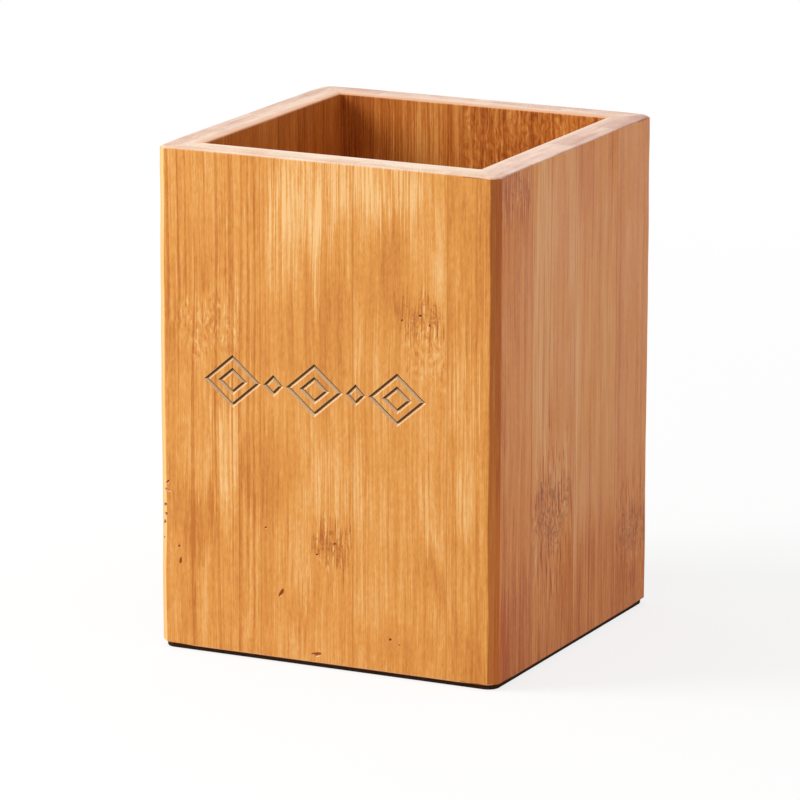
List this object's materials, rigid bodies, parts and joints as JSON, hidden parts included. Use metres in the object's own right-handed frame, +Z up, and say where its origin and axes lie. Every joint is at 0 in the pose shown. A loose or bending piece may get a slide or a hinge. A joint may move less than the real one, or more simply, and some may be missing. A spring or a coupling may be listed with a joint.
{
  "type": "pen holder",
  "caption": "Square open-topped pen holder of glued bamboo slats with mitred corners, an engraved lozenge band and a thin foam foot pad.",
  "frame": {"origin": "under the middle of the box, on the underside of the foot pad, which is the surface that it stands on", "axes": "+Z up, -Y out of the front wall, which carries the engraved band, +X to the right of that wall"},
  "size_m": [0.08, 0.08, 0.11],
  "materials": {
    "bamboo": "satin lacquered bamboo, upright grain",
    "base_bamboo": "satin lacquered bamboo, grain front to back",
    "foot_foam": "matt closed-cell foam"
  },
  "bodies": {
    "root": {"front_wall_slat_1": "bamboo", "front_wall_slat_2": "bamboo", "front_wall_slat_3": "bamboo", "front_wall_slat_4": "bamboo", "right_wall_slat_1": "bamboo", "right_wall_slat_2": "bamboo", "right_wall_slat_3": "bamboo", "right_wall_slat_4": "bamboo", "back_wall_slat_1": "bamboo", "back_wall_slat_2": "bamboo", "back_wall_slat_3": "bamboo", "back_wall_slat_4": "bamboo", "left_wall_slat_1": "bamboo", "left_wall_slat_2": "bamboo", "left_wall_slat_3": "bamboo", "left_wall_slat_4": "bamboo", "base_board_slat_1": "base_bamboo", "base_board_slat_2": "base_bamboo", "base_board_slat_3": "base_bamboo", "foot_pad": "foot_foam"}
  },
  "joints": []
}
